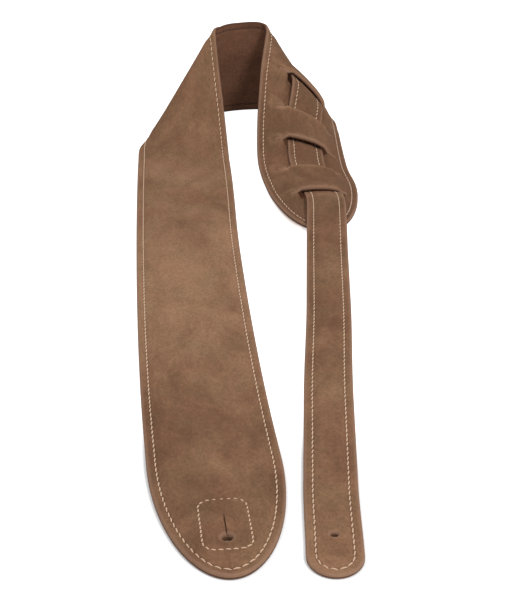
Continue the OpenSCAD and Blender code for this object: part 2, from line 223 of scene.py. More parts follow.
OVER, UNDER = MAIN_T + CLEAR, 0.2
MIDDLE = (OVER + UNDER) / 2
INSIDE = -TAIL_T - 3 * CLEAR
TAIL_HEIGHTS = [
    (SLOTS[0] - ENTRY, INSIDE),
    (SLOTS[0] - LIP, MIDDLE + 1),
    (SLOTS[0] + LIP, OVER + 2.2),
    (SLOTS[0] + 14, OVER + 2.6),
    (SLOTS[1] - 12, OVER + 1.6),
    (SLOTS[1] - LIP, OVER),
    (SLOTS[1] + LIP, MIDDLE),
    (SLOTS[1] + RAMP, UNDER),
    (SLOTS[2] - RAMP, UNDER),
    (SLOTS[2] - LIP, MIDDLE),
    (SLOTS[2] + LIP, OVER),
    (SLOTS[3] - LIP, OVER),
    (SLOTS[3] + LIP, MIDDLE),
    (SLOTS[3] + RAMP, UNDER),
    (SLOTS[4] - RAMP, UNDER),
    (SLOTS[4] - LIP, MIDDLE),
    (SLOTS[4] + LIP / 2, OVER + 0.4),
    (SLOTS[4] + 24, OVER + 1.4),
    (STRAP_LEN + 1, OVER),
    (STRAP_LEN + 31, 0),
]


def tail_height(s):
    return eased(s, TAIL_HEIGHTS)


def tail_line(s):
    from_tip = TAIL_TIP_S - s
    bow = TAIL_BOW * smooth(*BOW_NEAR, from_tip) * (1 - smooth(*BOW_FAR, from_tip))
    return TAIL_TIP + TAIL_DIR * from_tip[..., None] + TAIL_SIDE * bow[..., None]


def tail_join(s):
    return smooth(JOIN_FROM, JOIN_TO, s)


def tail_across(s):
    """How far the tail's middle lies across the wide strap."""
    line_offset = (tail_line(s) - underside(s, np.zeros_like(s))) @ TAIL_SIDE
    return mix(TAIL_OFFSET, line_offset, tail_join(s))


def tail_place(s, t, h):
    s, t, h = np.broadcast_arrays(s, t, h)
    join = tail_join(s)[..., None]
    on_strap = underside(s, TAIL_OFFSET + t)
    on_line = tail_line(s) + TAIL_SIDE * t[..., None]
    up = unit(mix(outward(s, np.full_like(s, TAIL_OFFSET)), np.array([0, 0, 1.0]), join))
    place = mix(on_strap, on_line, join) + up * (tail_height(s) + h)[..., None]
    place[..., 2] = np.maximum(place[..., 2], 0)
    return place


def bridge_height(s):
    """How high the bridges between slots stand over the tail, with a raised lip at each slot."""
    lip_h = [ARCH_H + rise for rise in LIP_RISES]
    height = lip_h[0] * smooth(SLOTS[0] - ENTRY, SLOTS[0] - LIP_OPEN, s) * (s <= SLOTS[0])
    for first, last in ((1, 2), (3, 4)):
        inside = (s > SLOTS[first]) & (s <= SLOTS[last])
        rise = mix(lip_h[first], ARCH_H, smooth(LIP_OPEN, RAMP, s - SLOTS[first]))
        rise = np.maximum(rise, mix(lip_h[last], ARCH_H, smooth(LIP_OPEN, RAMP, SLOTS[last] - s)))
        height = np.where(inside, rise, height)
    return height


def shoulder_height(s):
    """The same past the slots' ends, where the leather is whole and comes down slowly."""
    starts = SLOTS[0] - ENTRY, SLOTS[1] - SHOULDER_FAR, SLOTS[3] - SHOULDER_FAR
    height = np.zeros_like(s)
    for start, full, last in zip(starts, (SLOTS[0], SLOTS[1] + 3, SLOTS[3] + 3), (0, 2, 4)):
        fall = 1 - smooth(0, SHOULDER_NEAR, s - SLOTS[last])
        height = np.maximum(height, ARCH_H * smooth(start, full, s) * fall)
    return height


def slot_span(s):
    """The ends of the slots, across the strap, at a station."""
    c = np.clip((strap_half(s, PAD_INSET) - 0.5) / (SLOT_HI + 0.5), 0, 1)
    return SLOT_LO * c, SLOT_HI * c


def strap_half(s, inset):
    half = np.full_like(s, HALF_W - inset)
    for tip_distance, cap in ((s, WIDE_END), (STRAP_LEN - s, SLOT_END)):
        x = np.clip((cap - tip_distance) / (cap - inset), 0, 1)
        half = np.minimum(half, (HALF_W - inset) * np.sqrt(1 - x * x))
    return half


def arch(s, t):
    """Height that the wide strap is lifted by, over the tail that passes under it: a dome across the
    strap, whose feet stand past the slots' ends."""
    low, high = slot_span(s)
    middle = tail_across(s)
    foot_low, foot_high = low - FOOT_LOW, high + FOOT_HIGH
    centre, half = (foot_low + foot_high) / 2, (foot_high - foot_low) / 2
    q = np.clip(np.abs(t - centre) / np.maximum(half, 1), 0, 1)
    dome = (1 - q**2.6) * (1 - 0.45 * q**6)
    crease = mix(CREASE, LAST_CREASE, smooth(SLOTS[4] - 2, SLOTS[4] + 6, s))
    tail_low, tail_high = middle - TAIL_HALF - crease, middle + TAIL_HALF + crease
    at_tail = smooth(tail_low - 2.5, tail_low, t) * (1 - smooth(tail_high, tail_high + 3, t))
    return dome * ARCH_CROWN * mix(shoulder_height(s), bridge_height(s), at_tail)


# ---------------------------------------------------------------- flat layouts
RING_INSETS = [0, 0.3, 0.7, 1.2, 1.9, 2.8, 3.6, 4.3, 5.0, 5.8, 6.5, 7.2]
TAIL_RING_INSETS = [0, 0.25, 0.6, 1.0, 1.6, 2.4, 3.3, 4.3, 5.0, 5.7]


class Flat:
    """A strap laid out flat: s, t, distance from the edge, and faces, before it is bent into place."""

    def __init__(self, length, half, caps, rows, insets, columns):
        self.length, self.half, self.caps = length, half, caps
        self.insets, self.columns = insets, columns
        self.field_inset = insets[-1]
        self.rows = np.unique(np.round(np.array(rows, float), 4))
        n = len(self.rows)
        ring_s, ring_t = [], []
        for inset in insets:
            s, t = self.ring_side(inset)
            ring_s.append(np.concatenate([s, s[-2:0:-1]]))
            ring_t.append(np.concatenate([t, -t[-2:0:-1]]))
        _, widest = self.ring_side(self.field_inset)
        inner_columns = np.array(columns[1:-1])
        field_s = np.repeat(self.rows[1:-1], len(inner_columns))
        field_t = np.outer(widest[1:-1], inner_columns).ravel()
        self.s = np.concatenate(ring_s + [field_s])
        self.t = np.concatenate(ring_t + [field_t])
        self.ring_count, self.row_count = 2 * n - 2, n
        field_insets = self.edge_distance(field_s, field_t)
        self.inset = np.concatenate([np.repeat(insets, self.ring_count), field_insets])
        self.groove = np.zeros_like(self.s)
        self.faces, self.face_row, self.face_column = self.make_faces()

    def ring_side(self, inset):
        """The points of one side of a ring, matched to the rows, from one tip to the other."""
        rows, inner = self.rows, self.insets[-1]
        s, t = rows.copy(), np.full_like(rows, self.half - inset)
        for from_tip, cap, sign in ((rows, self.caps[0], 1), (self.length - rows, self.caps[1], -1)):
            capped = from_tip < cap
            cosine = np.clip((cap - from_tip) / (cap - inner), 0, 1)
            along = cap - (cap - inset) * cosine
            s = np.where(capped, along if sign > 0 else self.length - along, s)
            t = np.where(capped, (self.half - inset) * np.sqrt(np.clip(1 - cosine**2, 0, 1)), t)
        return s, t

    def edge_distance(self, s, t):
        """The inset of the ring that a point would lie on, found by halving."""
        found = np.full_like(s, self.half)
        for from_tip, cap in ((s, self.caps[0]), (self.length - s, self.caps[1])):
            to_cap = np.maximum(cap - from_tip, 0)
            low, high = np.zeros_like(s), np.full_like(s, min(self.half, cap) - 0.01)
            for _ in range(24):
                guess = (low + high) / 2
                beyond = (to_cap / (cap - guess)) ** 2 + (t / (self.half - guess)) ** 2 > 1
                low, high = np.where(beyond, low, guess), np.where(beyond, guess, high)
            found = np.minimum(found, low)
        return found

    def field(self, row, column):
        """Index of the vertex at a row and a column; the outermost ones belong to the last ring."""
        ring = (len(self.insets) - 1) * self.ring_count
        n, last = self.row_count, len(self.columns) - 1
        if row in (0, n - 1):
            return ring + row
        if column == last:
            return ring + row
        if column == 0:
            return ring + self.ring_count - row
        return len(self.insets) * self.ring_count + (row - 1) * (last - 1) + column - 1

    def make_faces(self):
        faces, rows, columns = [], [], []
        count, n, last = self.ring_count, self.row_count, len(self.columns) - 1
        for ring in range(len(self.insets) - 1):
            for k in range(count):
                a, b = ring * count + k, ring * count + (k + 1) % count
                faces.append((a, a + count, b + count, b))
                rows.append(-1)
                columns.append(-1)
        for row in range(n - 1):
            for column in range(last):
                corners = [
                    self.field(row, column),
                    self.field(row + 1, column),
                    self.field(row + 1, column + 1),
                    self.field(row, column + 1),
                ]
                corners = [c for i, c in enumerate(corners) if c not in corners[:i]]
                if len(corners) > 2:
                    faces.append(tuple(corners))
                    rows.append(row)
                    columns.append(column)
        return faces, np.array(rows), np.array(columns)

    def drop(self, keep):
        """Leaves out the faces that keep is false for."""
        self.faces = [f for f, k in zip(self.faces, keep) if k]
        self.face_row, self.face_column = self.face_row[keep], self.face_column[keep]

    def punch(self, s, radius, block):
        """A round hole at a station in the middle: so many rows and columns each way are left out, and
        the grid round them is drawn on to circles."""
        row = int(np.argmin(np.abs(self.rows - s)))
        column = int(np.argmin(np.abs(np.array(self.columns))))
        reach = 3 * block
        for i in range(-reach, reach + 1):
            for j in range(-reach, reach + 1):
                m = max(abs(i), abs(j))
                if m == 0:
                    continue
                v = self.field(row + i, column + j)
                circle = np.array([i, j]) / math.hypot(i, j) * radius * m / block
                square = np.array([self.s[v] - self.rows[row], self.t[v]])
                k = float(smooth(block, reach, m))
                at = mix(circle, square, k)
                self.s[v], self.t[v] = self.rows[row] + at[0], at[1]
        near_row = np.abs(self.face_row - row + 0.5) < block
        near_column = np.abs(self.face_column - column + 0.5) < block
        self.drop(~(near_row & near_column))
        self.hole_distance = np.hypot(self.s - self.rows[row], self.t) - radius


def spaced(a, b, step):
    """Stations from a to b, about a step apart."""
    return list(np.linspace(a, b, max(2, round((b - a) / step) + 1)))


def tip_stations(inset, cap, step):
    """Stations of the rows in a rounded end, closer together towards its tip."""
    n = round(cap / step)
    angles = np.linspace(0, math.pi / 2, n)
    return list(cap - (cap - inset) * np.cos(angles))


def knots(values, counts):
    """Columns: even steps between the given places."""
    parts = [np.linspace(a, b, n, endpoint=False) for a, b, n in zip(values, values[1:], counts)]
    return list(np.concatenate(parts + [[values[-1]]]))


FIELD_HALF = HALF_W - RING_INSETS[-1]
SLOT_FROM_SHARE, SLOT_TO_SHARE = SLOT_LO / FIELD_HALF, SLOT_HI / FIELD_HALF
LIP_STEPS = [0, 0.25, 0.7, 1.4, 2.4, 3.8, 5.4, 7.2, 9.2, 11.4, 13.6]


def wide_rows():
    """Stations of the wide strap's rows: closest round the hole, at the slots and at the tips."""
    field_inset, hole_step, tip_step, step = RING_INSETS[-1], 0.9, 1.5, 1.6
    hole_rows = HOLE_S + hole_step * np.arange(-11, 12)
    start = tip_stations(field_inset, WIDE_END, tip_step)
    rows = [s for s in start if abs(s - HOLE_S) > 12 * hole_step] + list(hole_rows)
    rows += spaced(WIDE_END, 480, step)[1:] + spaced(480, SLOTS[0] - 31, step)[1:]
    rows += spaced(SLOTS[0] - 29, SLOTS[0] - 19, 2.5)
    for s in SLOTS:
        rows += [s + sign * (LIP_OPEN + d) for d in LIP_STEPS for sign in (-1, 1)]
    rows += [(a + b) / 2 for a, b in zip(SLOTS, SLOTS[1:])]
    end = [STRAP_LEN - s for s in tip_stations(field_inset, SLOT_END, tip_step)]
    rows += [s for s in end if s > SLOTS[4] + LIP_OPEN + LIP_STEPS[-1] + 1]
    return rows


def wide_flat():
    columns = knots([-1, SLOT_FROM_SHARE, 0, SLOT_TO_SHARE, 1], [7, 16, 20, 3])
    flat = Flat(STRAP_LEN, HALF_W, (WIDE_END, SLOT_END), wide_rows(), RING_INSETS, columns)
    flat.lip_distance = np.full_like(flat.s, FAR)
    share = flat.t / np.maximum(FIELD_HALF * np.abs(field_shape(flat)), 1e-6)
    in_field = flat.inset >= RING_INSETS[-1] - 1e-6
    keep = np.ones(len(flat.faces), bool)
    for slot in SLOTS:
        keep &= ~open_slot(flat, slot, share, in_field)
    flat.drop(keep)
    # The slots' lips are drawn lighter, as wear and as a painted highlight.
    flat.lightness = eased(flat.s, WIDE_NAP, 30.0) + 1.1 * lip_wear_and_highlights(flat.s, flat.t)
    flat.punch(HOLE_S, HOLE_R, 3)
    cut_slit(flat, HOLE_S, SLIT_LEN)
    return flat


def cut_slit(flat, s, length):
    """A fine slit from the round hole towards the strap's middle, so that a strap button's head can
    pass. It has closed to a groove."""
    column = int(np.argmin(np.abs(np.array(flat.columns))))
    for row, station in enumerate(flat.rows):
        if s + 3 < station < s + length:
            flat.groove[flat.field(row, column)] = 1.0
            for side in (-1, 1):
                flat.t[flat.field(row, column + side)] = side * 0.4


def lip_wear_and_highlights(s, t):
    """Where the leather is drawn lighter: along the slots' raised lips, and round the slots' ends. It
    is rubbed wear, and a painted highlight where these raised crests catch the light.
    """
    low, high = slot_span(s)
    across = smooth(low - 3, low + 3, t) * (1 - smooth(high - 4, high + 1, t))
    lightened = np.zeros_like(s)
    for slot, away, lightening in zip(SLOTS, (-4, 3.2, -4, 3.2, -4), (0.7, 1.6, 0.9, 2.0, 0.7)):
        lightened += lightening * across * hump(s - slot - away, 2.6)
        from_end = np.hypot(s - slot, t - low + 1.5)
        lightened += 0.8 * hump(from_end - 4.5, 2.5)
    return lightened


def field_shape(flat):
    """Width of the field at each vertex's station, as a share of its full width."""
    shape = np.ones_like(flat.s)
    for from_tip, cap in ((flat.s, flat.caps[0]), (flat.length - flat.s, flat.caps[1])):
        x = np.clip((cap - from_tip) / (cap - flat.field_inset), 0, 1)
        shape = np.minimum(shape, np.sqrt(1 - x * x))
    return shape


def open_slot(flat, slot, share, in_field):
    """Draws the rows at a slot together towards its ends, as a slit that is pressed open in its middle,
    and says which faces the slit takes away."""
    middle, half = (SLOT_FROM_SHARE + SLOT_TO_SHARE) / 2, (SLOT_TO_SHARE - SLOT_FROM_SHARE) / 2
    q = np.abs(share - middle) / half
    beyond = np.maximum(SLOT_FROM_SHARE - share, share - SLOT_TO_SHARE)
    room = np.where(share > 0, 1 - SLOT_TO_SHARE, 1 + SLOT_FROM_SHARE)
    beside_tail = np.abs(flat.t - TAIL_OFFSET) - TAIL_HALF
    lens = mix(1, SLIT, smooth(-0.5, 3.2, beside_tail)) * np.where(q > 1, 0, 1)
    lens = np.where(beyond > 0, mix(SLIT, 1, smooth(0, 1, beyond / room)), lens)
    away = flat.s - slot
    span = np.abs(away)
    reach = LIP_OPEN + LIP_STEPS[-1]
    opening = LIP_OPEN * lens
    outside = opening + (span - LIP_OPEN) * (reach - opening) / (reach - LIP_OPEN)
    warped = np.where(span <= LIP_OPEN, span * lens, outside)
    near = in_field & (span < reach)
    flat.s = np.where(near, slot + np.sign(away) * warped, flat.s)
    off_end = np.maximum(beyond, 0) * FIELD_HALF
    flat.lip_distance = np.where(near, np.hypot(warped - opening, off_end), flat.lip_distance)
    row = int(np.argmin(np.abs(flat.rows - (slot - LIP_OPEN))))
    columns = np.array(flat.columns)
    first = int(np.argmin(np.abs(columns - SLOT_FROM_SHARE)))
    last = int(np.argmin(np.abs(columns - SLOT_TO_SHARE)))
    return (flat.face_row == row) & (flat.face_column >= first) & (flat.face_column < last)


def tail_rows():
    """Stations of the tail's rows, from its inner end: closest at its ends and round its hole."""
    field_inset = TAIL_RING_INSETS[-1]
    hole_rows = list(TAIL_LEN - TAIL_HOLE_AT + 0.8 * np.arange(-8, 9))
    rows = tip_stations(field_inset, TAIL_INNER_END, 0.5)
    rows += spaced(TAIL_INNER_END, 220, 1.3)[1:] + spaced(220, hole_rows[0] - 1, 1.8)[1:] + hole_rows
    rows += spaced(hole_rows[-1] + 1, TAIL_LEN - TAIL_END, 1.3)
    return rows + [TAIL_LEN - s for s in tip_stations(field_inset, TAIL_END, 1.0)[:-1]]


def tail_flat():
    caps = TAIL_INNER_END, TAIL_END
    columns = knots([-1, 0, 1], [8, 8])
    flat = Flat(TAIL_LEN, TAIL_HALF, caps, tail_rows(), TAIL_RING_INSETS, columns)
    flat.lip_distance = np.full_like(flat.s, FAR)
    past_last_slot = flat.s + TAIL_INNER_S - SLOTS[4]
    # A painted highlight on the tail just past the last slot, where it comes out and bends over.
    flat.lightness = eased(flat.s, TAIL_NAP, 30.0) + 0.9 * hump(past_last_slot - 7, 4)
    flat.punch(TAIL_LEN - TAIL_HOLE_AT, TAIL_HOLE_R, 2)
    return flat


# ---------------------------------------------------------------- materials
def colour(red, green, blue):
    """A colour as seen on a screen, 0 to 255, as the shader's own numbers."""
    return tuple(((v / 255 + 0.055) / 1.055) ** 2.4 for v in (red, green, blue)) + (1.0,)


class Nodes:
    """A material's node tree, with short calls to add and join nodes."""

    def __init__(self, name, roughness, specular=0.2, sheen=0.0, sheen_roughness=0.5, sheen_tint=None):
        self.material = bpy.data.materials.new(name)
        self.material.use_nodes = True
        self.tree = self.material.node_tree
        self.shader = self.tree.nodes["Principled BSDF"]
        self.shader.inputs["Roughness"].default_value = roughness
        self.shader.inputs["Specular IOR Level"].default_value = specular
        self.shader.inputs["Sheen Weight"].default_value = sheen
        self.shader.inputs["Sheen Roughness"].default_value = sheen_roughness
        if sheen_tint:
            self.shader.inputs["Sheen Tint"].default_value = sheen_tint

    def add(self, kind, links=None, **settings):
        node = self.tree.nodes.new("ShaderNode" + kind)
        for key, value in settings.items():
            setattr(node, key, value)
        for name, source in (links or {}).items():
            self.put(node.inputs[name], source)
        return node

    def put(self, socket, source):
        if isinstance(source, bpy.types.NodeSocket):
            self.tree.links.new(source, socket)
        else:
            socket.default_value = source

    def place(self, name="place"):
        return self.add("Attribute", attribute_name=name).outputs["Vector"]

    def scaled(self, vector, scale):
        return self.add("VectorMath", {0: vector, 1: scale}, operation="MULTIPLY").outputs["Vector"]

    def noise(self, vector, scale, detail=3.0, roughness=0.5, distortion=0.0):
        links = {
            "Vector": vector,
            "Scale": scale,
            "Detail": detail,
            "Roughness": roughness,
            "Distortion": distortion,
        }
        return self.add("TexNoise", links).outputs["Fac"]

    def ramp(self, value, *stops):
        """Maps a value through (position, colour or grey) stops."""
        node = self.add("ValToRGB", {"Fac": value})
        elements = node.color_ramp.elements
        while len(elements) < len(stops):
            elements.new(0.5)
        for element, (position, shade) in zip(elements, stops):
            element.position = position
            element.color = shade if isinstance(shade, tuple) else (shade, shade, shade, 1)
        return node.outputs["Color"]

    def mix(self, factor, a, b, mode="MIX"):
        node = self.add("Mix", data_type="RGBA", blend_type=mode)
        self.put(node.inputs[0], factor)
        self.put(node.inputs[6], a)
        self.put(node.inputs[7], b)
        return node.outputs[2]

    def math(self, operation, a, b=0.0, clamp=False):
        node = self.add("Math", {0: a, 1: b}, operation=operation, use_clamp=clamp)
        return node.outputs["Value"]

    def band(self, value, low, high):
        """1 where the value is at or under low, falling to 0 at high."""
        links = {"Value": value, "From Min": low, "From Max": high, "To Min": 1.0, "To Max": 0.0}
        return self.add("MapRange", links, interpolation_type="SMOOTHSTEP").outputs["Result"]

    def bump(self, height, distance, strength=1.0, under=None):
        links = {"Height": height, "Distance": distance, "Strength": strength}
        if under:
            links["Normal"] = under
        return self.add("Bump", links).outputs["Normal"]

    def finish(self, base, normal=None, roughness=None):
        self.put(self.shader.inputs["Base Color"], base)
        if normal:
            self.put(self.shader.inputs["Normal"], normal)
        if roughness:
            self.put(self.shader.inputs["Roughness"], roughness)
        return self.material


def suede(name, light, middle, dark, edge_wear_and_painted_light, sheen):
    """Napped suede: clouds where the nap lies different ways, a fine grain, and a fuzzy edge in its own
    colour, which is wear together with painted light: a paler edge is wear and a painted highlight, a
    darker one is painted shade.
    """
    n = Nodes(name, roughness=0.95, specular=0.12, sheen=sheen, sheen_roughness=0.45, sheen_tint=light)
    place = n.place()
    along = n.scaled(place, (0.7, 1.0, 0.0))
    clouds = n.noise(along, 26.0, detail=4.0, roughness=0.62, distortion=0.8)
    strokes = n.scaled(place, (0.35, 1.0, 0.0))
    brushed = n.noise(strokes, 120.0, detail=3.0, roughness=0.6, distortion=0.3)
    grain = n.noise(place, 900.0, detail=4.0, roughness=0.7)
    suede_tone = n.math("ADD", n.math("MULTIPLY", clouds, 0.72), n.math("MULTIPLY", brushed, 0.28))
    lightness = n.add("Attribute", attribute_name="lightness").outputs["Fac"]
    # The lightness mark brings in the nap's tone along the strap, painted highlights on the slots' lips
    # and the tail, and painted shade in the slit.
    suede_tone = n.math("ADD", suede_tone, n.math("MULTIPLY", lightness, 0.16))
    base = n.ramp(suede_tone, (0.3, dark), (0.5, middle), (0.7, light))
    hues = n.noise(place, 42.0, detail=2.0)
    reddish, greenish = (1.0, 0.93, 0.9, 1), (0.93, 0.95, 0.88, 1)
    base = n.mix(0.8, base, n.ramp(hues, (0.38, reddish), (0.62, greenish)), "MULTIPLY")
    speckle = n.noise(place, 420.0, detail=3.0, roughness=0.65)
    base = n.mix(0.5, base, n.ramp(speckle, (0.32, 0.36), (0.68, 0.64)), "OVERLAY")
    base = n.mix(0.55, base, n.ramp(grain, (0.3, 0.34), (0.7, 0.66)), "OVERLAY")
    inset = n.add("SeparateXYZ", {"Vector": place}).outputs["Z"]
    from_edge = n.add("Attribute", attribute_name="from_edge").outputs["Fac"]
    ragged = n.math("MULTIPLY", n.noise(place, 1500.0, 2.0), 0.0006)
    edge_near = n.band(n.math("ADD", from_edge, ragged), 0.0006, 0.0024)
    # Painted light at the cut edges: the edge colour is wear together with a painted highlight where it
    # is paler, and painted shade where it is darker.
    base = n.mix(n.math("MULTIPLY", edge_near, 0.7), base, edge_wear_and_painted_light)
    # Painted shade: the stitch line is drawn darker, for the shade in its groove.
    painted_seam_shade = n.band(n.math("ABSOLUTE", n.math("SUBTRACT", inset, STITCH_INSET * MM)), 0.0002, 0.0010)
    base = n.mix(n.math("MULTIPLY", painted_seam_shade, 0.35), base, dark, "MULTIPLY")
    fibres = n.noise(n.scaled(place, (0.5, 1.0, 1.0)), 2600.0, detail=3.0, roughness=0.7)
    normal = n.bump(brushed, 0.0008, 0.35)
    normal = n.bump(grain, 0.0004, 0.55, normal)
    normal = n.bump(fibres, 0.0002, 0.6, normal)
    return n.finish(base, normal)


def thread_material(name, light, dark, groove):
    """Bonded thread of three plies, twisted: slanting bands along each stitch, and painted shade in the
    grooves between the plies.
    """
    n = Nodes(name, roughness=0.6, specular=0.25, sheen=0.25)
    place = n.place()
    turns = n.add("SeparateXYZ", {"Vector": place})
    slant = n.math("ADD", n.math("MULTIPLY", turns.outputs["X"], 5200.0), turns.outputs["Y"])
    ply = n.math("ABSOLUTE", n.math("SINE", slant))
    base = n.ramp(n.noise(place, 160.0, 2.0), (0.35, dark), (0.65, light))
    # Painted shade: the grooves between the plies are drawn in the darker groove colour.
    base = n.mix(n.math("SUBTRACT", 0.5, n.math("MULTIPLY", ply, 0.5)), base, groove)
    return n.finish(base, n.bump(ply, 0.0001, 0.7))


def fibre_material(name, light, dark, scale):
    """Felt or leather board, seen only at cut edges."""
    n = Nodes(name, roughness=0.95, specular=0.1)
    place = n.place()
    fibres = n.noise(place, scale, detail=4.0, roughness=0.7)
    base = n.ramp(fibres, (0.35, dark), (0.65, light))
    return n.finish(base, n.bump(fibres, 0.0003, 0.6))


def webbing_material():
    """Plain woven tape: warp and weft bands at right angles."""
    n = Nodes("woven_tape", roughness=0.85, specular=0.2)
    parts = n.add("SeparateXYZ", {"Vector": n.place()})
    warp = n.math("SINE", n.math("MULTIPLY", parts.outputs["X"], 5200.0))
    weft = n.math("SINE", n.math("MULTIPLY", parts.outputs["Y"], 5200.0))
    weave = n.math("MULTIPLY", warp, weft)
    dark, light = colour(176, 160, 136), colour(214, 202, 182)
    base = n.ramp(n.math("MULTIPLY_ADD", weave, 0.5), (0.0, dark), (1.0, light))
    return n.finish(base, n.bump(weave, 0.0002, 0.8))


def colours(*screen):
    return [colour(*parts) for parts in screen]


# The face's paler edge colour is wear and a painted highlight on its rims.
SUEDE = suede(
    "brown_suede",
    *colours((158, 123, 97), (138, 104, 80), (116, 85, 65), (154, 120, 99)),
    sheen=0.3,
)
# The backing's edge colour, darker than its dark nap, is painted shade on its shadowed lower rims.
SUEDE_BACK = suede(
    "brown_suede_back",
    *colours((142, 103, 82), (127, 90, 71), (110, 76, 60), (88, 62, 50)),
    sheen=0.12,
)
THREAD = thread_material("cream_thread", *colours((244, 212, 182), (222, 184, 152), (168, 130, 102)))
BOBBIN = thread_material("brown_thread", *colours((104, 74, 58), (86, 60, 46), (60, 40, 30)))
FELT = fibre_material("felt", *colours((190, 174, 148), (160, 142, 116)), scale=1400.0)
BOARD = fibre_material("leather_board", *colours((126, 98, 74), (98, 72, 52)), scale=900.0)
TAPE = webbing_material()


# ---------------------------------------------------------------- pieces
def add_piece(name, points, faces, places, material, slot, marks=None):
    """A mesh piece from points in millimetres, holding the flat place of each point for its material,
    and any marks: how far the point is from a cut edge, and how light the suede is there, which is its
    nap together with painted highlights and painted shade."""
    used = np.unique(np.concatenate([np.array(f) for f in faces]))
    index = np.full(len(points), -1)
    index[used] = np.arange(len(used))
    mesh = bpy.data.meshes.new(name)
    corners = [tuple(index[list(f)].tolist()) for f in faces]
    mesh.from_pydata((points[used] * MM).tolist(), [], corners)
    attribute = mesh.attributes.new("place", "FLOAT_VECTOR", "POINT")
    attribute.data.foreach_set("vector", (places[used] * MM).astype(np.float32).ravel())
    for mark, values in (marks or {}).items():
        attribute = mesh.attributes.new(mark, "FLOAT", "POINT")
        attribute.data.foreach_set("value", values[used].astype(np.float32))
    mesh.shade_smooth()
    mesh.set_sharp_from_angle(angle=math.radians(55))
    mesh.materials.append(material)
    piece = bpy.data.objects.new(name, mesh)
    bpy.context.scene.collection.objects.link(piece)
    return piece


def layer(name, flat, top, bottom, put, keep, material, slot):
    """One closed layer of a strap, between two heights, over the kept faces of a flat layout."""
    tops, bottoms = put(flat, top), put(flat, bottom)
    n = len(tops)
    faces = [f for f, k in zip(flat.faces, keep) if k]
    sides = {(f[i], f[(i + 1) % len(f)]) for f in faces for i in range(len(f))}
    walls = [(a, a + n, b + n, b) for a, b in sides if (b, a) not in sides]
    underneath = [tuple(v + n for v in reversed(f)) for f in faces]
    flat_place = np.stack([flat.s, flat.t, flat.inset], axis=-1)
    places = np.concatenate([flat_place, flat_place])
    from_edge = np.minimum(np.minimum(flat.inset, flat.lip_distance), flat.hole_distance) * MM
    # The slit is painted darker: painted shade in its groove.
    lightness = flat.lightness - 3 * flat.groove
    marks = {"from_edge": np.tile(from_edge, 2), "lightness": np.tile(lightness, 2)}
    points, faces = np.concatenate([tops, bottoms]), faces + underneath + sorted(walls)
    return add_piece(name, points, faces, places, material, slot, marks)


def faces_where(flat, vertex_values, test):
    """Which faces have only vertices that pass a test."""
    good = test(vertex_values)
    return np.array([all(good[v] for v in f) for f in flat.faces])


def waves(s, t, amplitude):
    """Slow, shallow unevenness of soft leather."""
    return amplitude * (
        np.sin(s / 17.0 + 1.3 * np.sin(t / 21.0))
        + 0.6 * np.sin(s / 9.1 - t / 12.5 + 2.0)
        + 0.4 * np.sin(t / 6.3 + 1.7 * np.sin(s / 23.0))
    )


# Relief of the leather: the stitches' dips, the rim round a hole, the slit's depth, and slow waves
SEAM_DIP, SEAM_DIP_UNDER, SEAM_WIDTH = 0.42, 0.5, 0.6
HOLE_RIM, SLIT_DEPTH, UNEVEN = 0.35, 1.0, 0.07


def rounded_edge(distance, radius):
    """How far a surface has dropped at a distance from its rounded edge, as a share of the radius."""
    x = np.clip(1 - distance / radius, 0, 1)
    return 1 - np.sqrt(1 - x * x)


def face_top(flat, backing_t, core_t, face_t, pad_from, crown):
    """Height of the face: rounded at its edges, drawn in by the stitches, and full over the padding. It
    is pressed up in a rim round the button hole, and down along the slit."""
    full = smooth(STITCH_INSET + 0.2, pad_from + 2.5, flat.inset) * smooth(0.3, 3.0, flat.lip_distance)
    top = backing_t + face_t + core_t * full
    top -= 0.7 * face_t * rounded_edge(flat.inset, 1.3)
    top -= SEAM_DIP * hump(flat.inset - STITCH_INSET, SEAM_WIDTH)
    top += crown * smooth(pad_from, flat.half, flat.inset)
    top -= 0.8 * rounded_edge(flat.lip_distance, 1.0) + 0.6 * rounded_edge(flat.hole_distance, 1.2)
    top += HOLE_RIM * hump(flat.hole_distance - 1.6, 1.3) - SLIT_DEPTH * flat.groove
    return top + waves(flat.s, flat.t, UNEVEN) * smooth(4.5, 9, flat.inset)


def backing_bottom(flat):
    bottom = 0.35 * rounded_edge(flat.inset, 0.8) + 0.4 * rounded_edge(flat.lip_distance, 0.8)
    return bottom + SEAM_DIP_UNDER * hump(flat.inset - STITCH_INSET, SEAM_WIDTH)


def level(flat, h):
    return np.full_like(flat.s, h)


def put_wide(flat, h):
    return strap_place(flat.s, flat.t, h + arch(flat.s, flat.t))


def put_tail(flat, h):
    return tail_place(flat.s + TAIL_INNER_S, flat.t, h)


def add_layer(name, node, flat, heights, put, keep, material, slot):
    """A layer between its top and bottom heights, standing for a CAD node."""
    pieces[name] = layer(name, flat, *heights, put, keep, material, slot)
    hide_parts(node)


def wide_layers(flat):
    every = np.ones(len(flat.faces), bool)
    filled = (flat.inset > PAD_INSET - 0.01) & (flat.lip_distance > LIP_BARE)
    padded = faces_where(flat, filled, lambda f: f)
    near_end = faces_where(flat, flat.s, lambda s: s <= BACKING_SEAM + 0.8)
    at_tab = faces_where(flat, flat.s, lambda s: s < TAB_END)
    past_tab = faces_where(flat, flat.s, lambda s: s > TAB_END + TAB_GAP)
    top = face_top(flat, BACKING_T, CORE_T, FACE_T, PAD_INSET, 0.3)
    face = top, BACKING_T + CORE_T * filled
    backing = level(flat, BACKING_T), backing_bottom(flat)
    core = level(flat, BACKING_T + CORE_T), level(flat, BACKING_T)
    for name, node, heights, keep, material, slot in (
        ("wide_face", "main_face", face, every, SUEDE, "suede"),
        ("wide_backing", "main_backing", backing, ~near_end, SUEDE_BACK, "backing_suede"),
        ("wide_button_backing", "main_button_backing", backing, near_end, SUEDE_BACK, "backing_suede"),
        ("button_tab", "main_button_tab", core, padded & at_tab, BOARD, "tab_board"),
        ("wide_padding", "main_core", core, padded & past_tab, FELT, "padding"),
    ):
        add_layer(name, node, flat, heights, put_wide, keep, material, slot)
        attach(pieces[name], "main")


